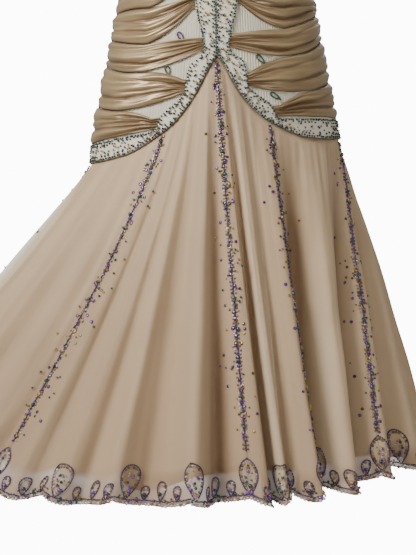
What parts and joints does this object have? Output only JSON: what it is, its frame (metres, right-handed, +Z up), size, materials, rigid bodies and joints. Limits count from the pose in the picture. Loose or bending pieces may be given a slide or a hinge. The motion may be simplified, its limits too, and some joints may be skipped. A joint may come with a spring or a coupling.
{
  "type": "cocktail dress",
  "caption": "Knee-length cocktail dress: gored sheer chiffon skirt with one side held out, ruched satin hip bands, beaded trim and thin shoulder straps, hollow as worn.",
  "frame": {"origin": "midpoint between the undersides of the two shoulder straps at their highest points, where the wearer's shoulders carry the dress", "axes": "+Z up; the wearer faces -Y, so +X is the wearer's left"},
  "size_m": [0.7472, 0.538, 1.0671],
  "materials": {
    "chiffon": "sheer crepe chiffon",
    "lining": "soft matt lining",
    "satin": "silk satin",
    "pleated_chiffon": "crinkle-pleated chiffon",
    "beaded_trim": "beaded on satin",
    "beads": "glass seed beads and sequins"
  },
  "bodies": {
    "root": {"hip_panel_front_left": "pleated_chiffon", "hip_panel_front_right": "pleated_chiffon", "hip_panel_back_left": "pleated_chiffon", "hip_panel_back_right": "pleated_chiffon", "bodice_front_left": "satin", "bodice_front_right": "satin", "bodice_back_left": "satin", "bodice_back_right": "satin", "shoulder_strap_left": "satin", "shoulder_strap_right": "satin", "beaded_trim_left": "beaded_trim", "beaded_trim_right": "beaded_trim", "satin_band_hip_left": "satin", "satin_band_hip_right": "satin", "satin_band_lower_left": "satin", "satin_band_lower_right": "satin", "satin_band_middle_left": "satin", "satin_band_middle_right": "satin", "satin_band_upper_left": "satin", "satin_band_upper_right": "satin", "satin_band_waist_left": "satin", "satin_band_waist_right": "satin", "skirt_back_centre_right": "chiffon", "skirt_back_side_right": "chiffon", "skirt_front_side_right": "chiffon", "skirt_front_centre_right": "chiffon", "skirt_front_centre_left": "chiffon", "skirt_front_side_left": "chiffon", "skirt_back_side_left": "chiffon", "skirt_back_centre_left": "chiffon", "underskirt_front": "lining", "underskirt_back": "lining"}
  },
  "joints": []
}
